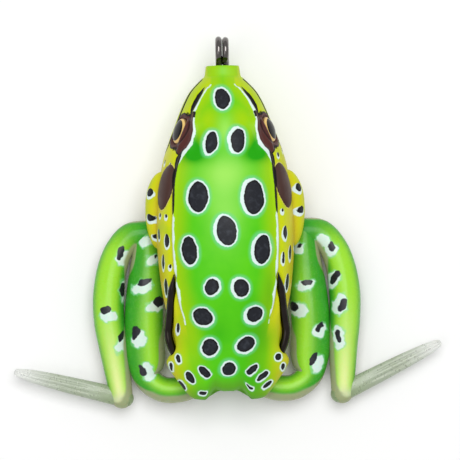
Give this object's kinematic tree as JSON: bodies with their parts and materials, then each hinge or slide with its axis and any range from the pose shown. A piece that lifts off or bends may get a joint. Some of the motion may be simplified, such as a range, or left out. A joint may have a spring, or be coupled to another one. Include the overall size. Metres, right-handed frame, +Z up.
{
  "type": "topwater popper",
  "caption": "Hollow soft frog-bodied topwater fishing lure with a dished nose cup, wire line-tie eye, upturned double hook on the flanks, keel weight and folding swimming legs",
  "frame": {"origin": "middle of the keel weight's flat bottom, on the surface that the lure lies on", "axes": "+Y towards the nose and line tie, +Z up through the back, +X to the lure's right"},
  "size_m": [0.0781, 0.0668, 0.0212],
  "materials": {
    "painted_skin": "soft hollow skin, airbrushed green and yellow with dark spots, gloss clear coat",
    "painted_leg": "soft translucent moulding, pearl green on top, milky at the feet",
    "black_nickel": "black nickel plate, bright at the eye",
    "cast_lead": "dull cast grey",
    "steel": "bright",
    "clear_plastic": "clear, polished",
    "grey_plastic": "matt",
    "soft_plug": "matt",
    "eye_gloss": "gold ring round a dark pupil under clear gloss"
  },
  "bodies": {
    "body": {"body_shell": "painted_skin", "double_hook": "black_nickel", "keel_weight": "cast_lead", "nose_plug": "soft_plug", "rattle_tube": "clear_plastic", "rattle_plug": "clear_plastic", "leg_anchor": "grey_plastic", "left_eye": "eye_gloss", "right_eye": "eye_gloss", "left_hip_pin": "steel", "right_hip_pin": "steel"},
    "left_thigh": {"left_thigh": "painted_leg"},
    "left_shin": {"left_shin": "painted_leg"},
    "left_foot": {"left_foot": "painted_leg"},
    "right_thigh": {"right_thigh": "painted_leg"},
    "right_shin": {"right_shin": "painted_leg"},
    "right_foot": {"right_foot": "painted_leg"},
    "rattle_balls": {"rattle_ball_1": "steel", "rattle_ball_2": "steel", "rattle_ball_3": "steel"}
  },
  "joints": [
    {"name": "left_hip", "type": "hinge", "parent": "body", "child": "left_thigh", "pos_m": [-0.0056, -0.02, 0.0049], "axis": [0, 0, 1], "range_deg": [0, 100], "stiffness_Nm_per_rad": 0.0002},
    {"name": "left_knee", "type": "hinge", "parent": "left_thigh", "child": "left_shin", "pos_m": [-0.0142, 0.0068, 0.0042], "axis": [0, 0, -1], "range_deg": [0, 140]},
    {"name": "left_ankle", "type": "hinge", "parent": "left_shin", "child": "left_foot", "pos_m": [-0.0194, -0.0229, 0.0039], "axis": [0, 0, 1], "range_deg": [0, 90]},
    {"name": "right_hip", "type": "hinge", "parent": "body", "child": "right_thigh", "pos_m": [0.0056, -0.02, 0.0049], "axis": [0, 0, -1], "range_deg": [0, 100], "stiffness_Nm_per_rad": 0.0002},
    {"name": "right_knee", "type": "hinge", "parent": "right_thigh", "child": "right_shin", "pos_m": [0.0142, 0.0068, 0.0042], "axis": [0, 0, 1], "range_deg": [0, 140]},
    {"name": "right_ankle", "type": "hinge", "parent": "right_shin", "child": "right_foot", "pos_m": [0.0207, -0.0227, 0.0039], "axis": [0, 0, -1], "range_deg": [0, 90]},
    {"name": "rattle_slide", "type": "slide", "parent": "body", "child": "rattle_balls", "axis": [0, 1, 0], "range_m": [0, 0.002]}
  ],
  "couplings": [
    {"joint": "left_knee", "follows": "left_hip", "ratio": 1.4},
    {"joint": "left_ankle", "follows": "left_hip", "ratio": 0.9},
    {"joint": "right_knee", "follows": "right_hip", "ratio": 1.4},
    {"joint": "right_ankle", "follows": "right_hip", "ratio": 0.9}
  ]
}
